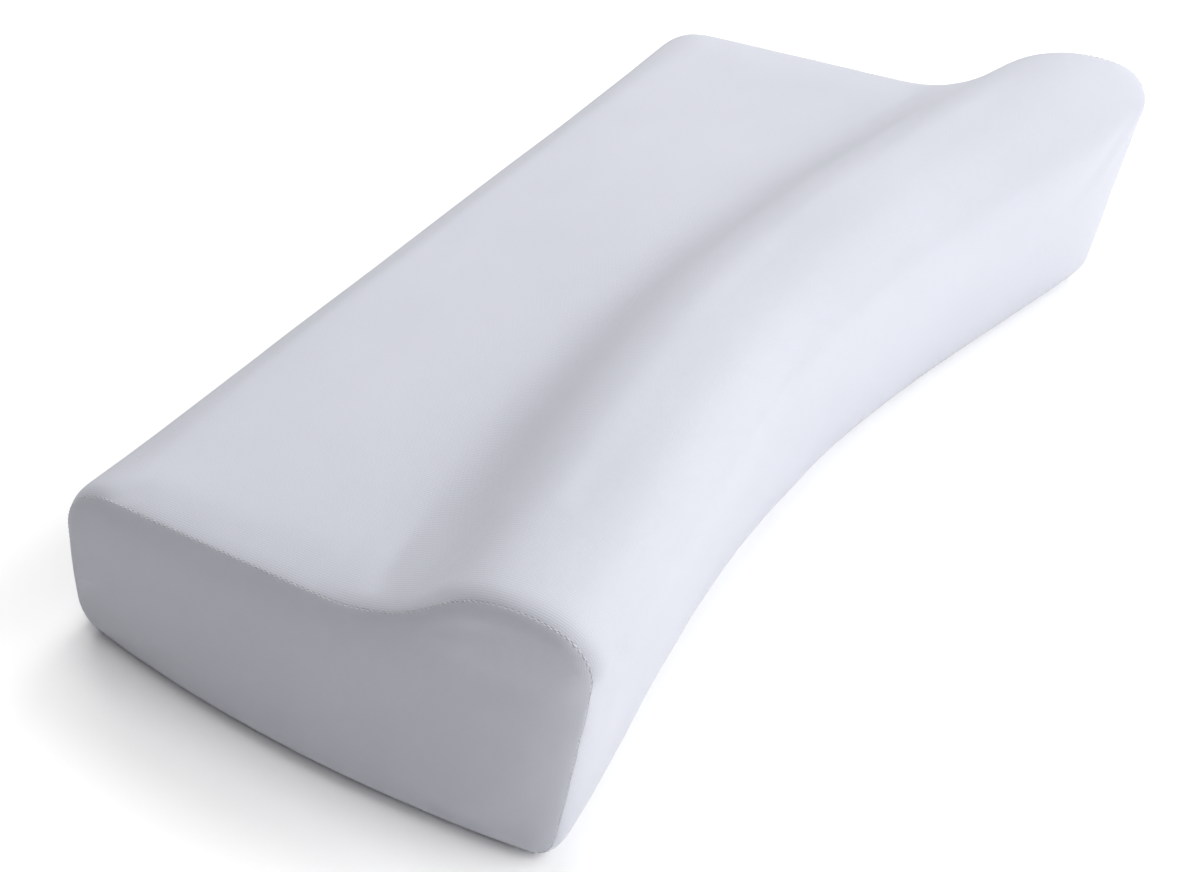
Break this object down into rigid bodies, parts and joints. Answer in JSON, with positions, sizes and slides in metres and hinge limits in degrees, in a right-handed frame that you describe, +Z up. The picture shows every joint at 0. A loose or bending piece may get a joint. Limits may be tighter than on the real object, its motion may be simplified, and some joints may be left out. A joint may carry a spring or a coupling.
{
  "type": "contoured cervical traction pillow",
  "caption": "Long contoured foam neck pillow with a tall neck roll, a shoulder curve, a flat head rest and a zipped white cloth cover.",
  "frame": {"origin": "middle of the footprint, on the plane the pillow stands on", "axes": "+X along the pillow, -Y towards the shoulders (the side with the neck roll), +Z up"},
  "size_m": [0.5028, 0.3164, 0.1378],
  "materials": {
    "foam": "matte",
    "liner": "matte",
    "cover_cloth": "matte",
    "thread": "satin",
    "zip_tape": "matte",
    "zip_plastic": "satin",
    "slider_metal": "satin"
  },
  "bodies": {
    "pillow": {"foam_core": "foam", "liner_sleeve": "liner", "liner_end_left": "liner", "liner_end_right": "liner", "cover_top": "cover_cloth", "cover_base": "cover_cloth", "cover_end_left": "cover_cloth", "cover_end_right": "cover_cloth", "seam_thread_left": "thread", "seam_thread_right": "thread", "seam_thread_front": "thread", "zip_tape_upper": "zip_tape", "zip_tape_lower": "zip_tape", "zip_teeth_upper": "zip_plastic", "zip_teeth_lower": "zip_plastic", "zip_top_stops": "zip_plastic", "zip_bottom_stop": "zip_plastic", "zip_stitches_upper": "thread", "zip_stitches_lower": "thread"},
    "slider": {"zip_slider": "slider_metal"},
    "pull_tab": {"zip_pull": "slider_metal"}
  },
  "joints": [
    {"name": "zip_travel", "type": "slide", "parent": "pillow", "child": "slider", "axis": [1, 0, 0], "range_m": [0, 0.405], "deforming": ["zip_teeth_upper", "zip_teeth_lower"]},
    {"name": "pull_flip", "type": "hinge", "parent": "slider", "child": "pull_tab", "pos_m": [-0.2053, 0.15415, 0.04128], "axis": [0, -0.225, 0.9744], "range_deg": [0, 175]}
  ]
}
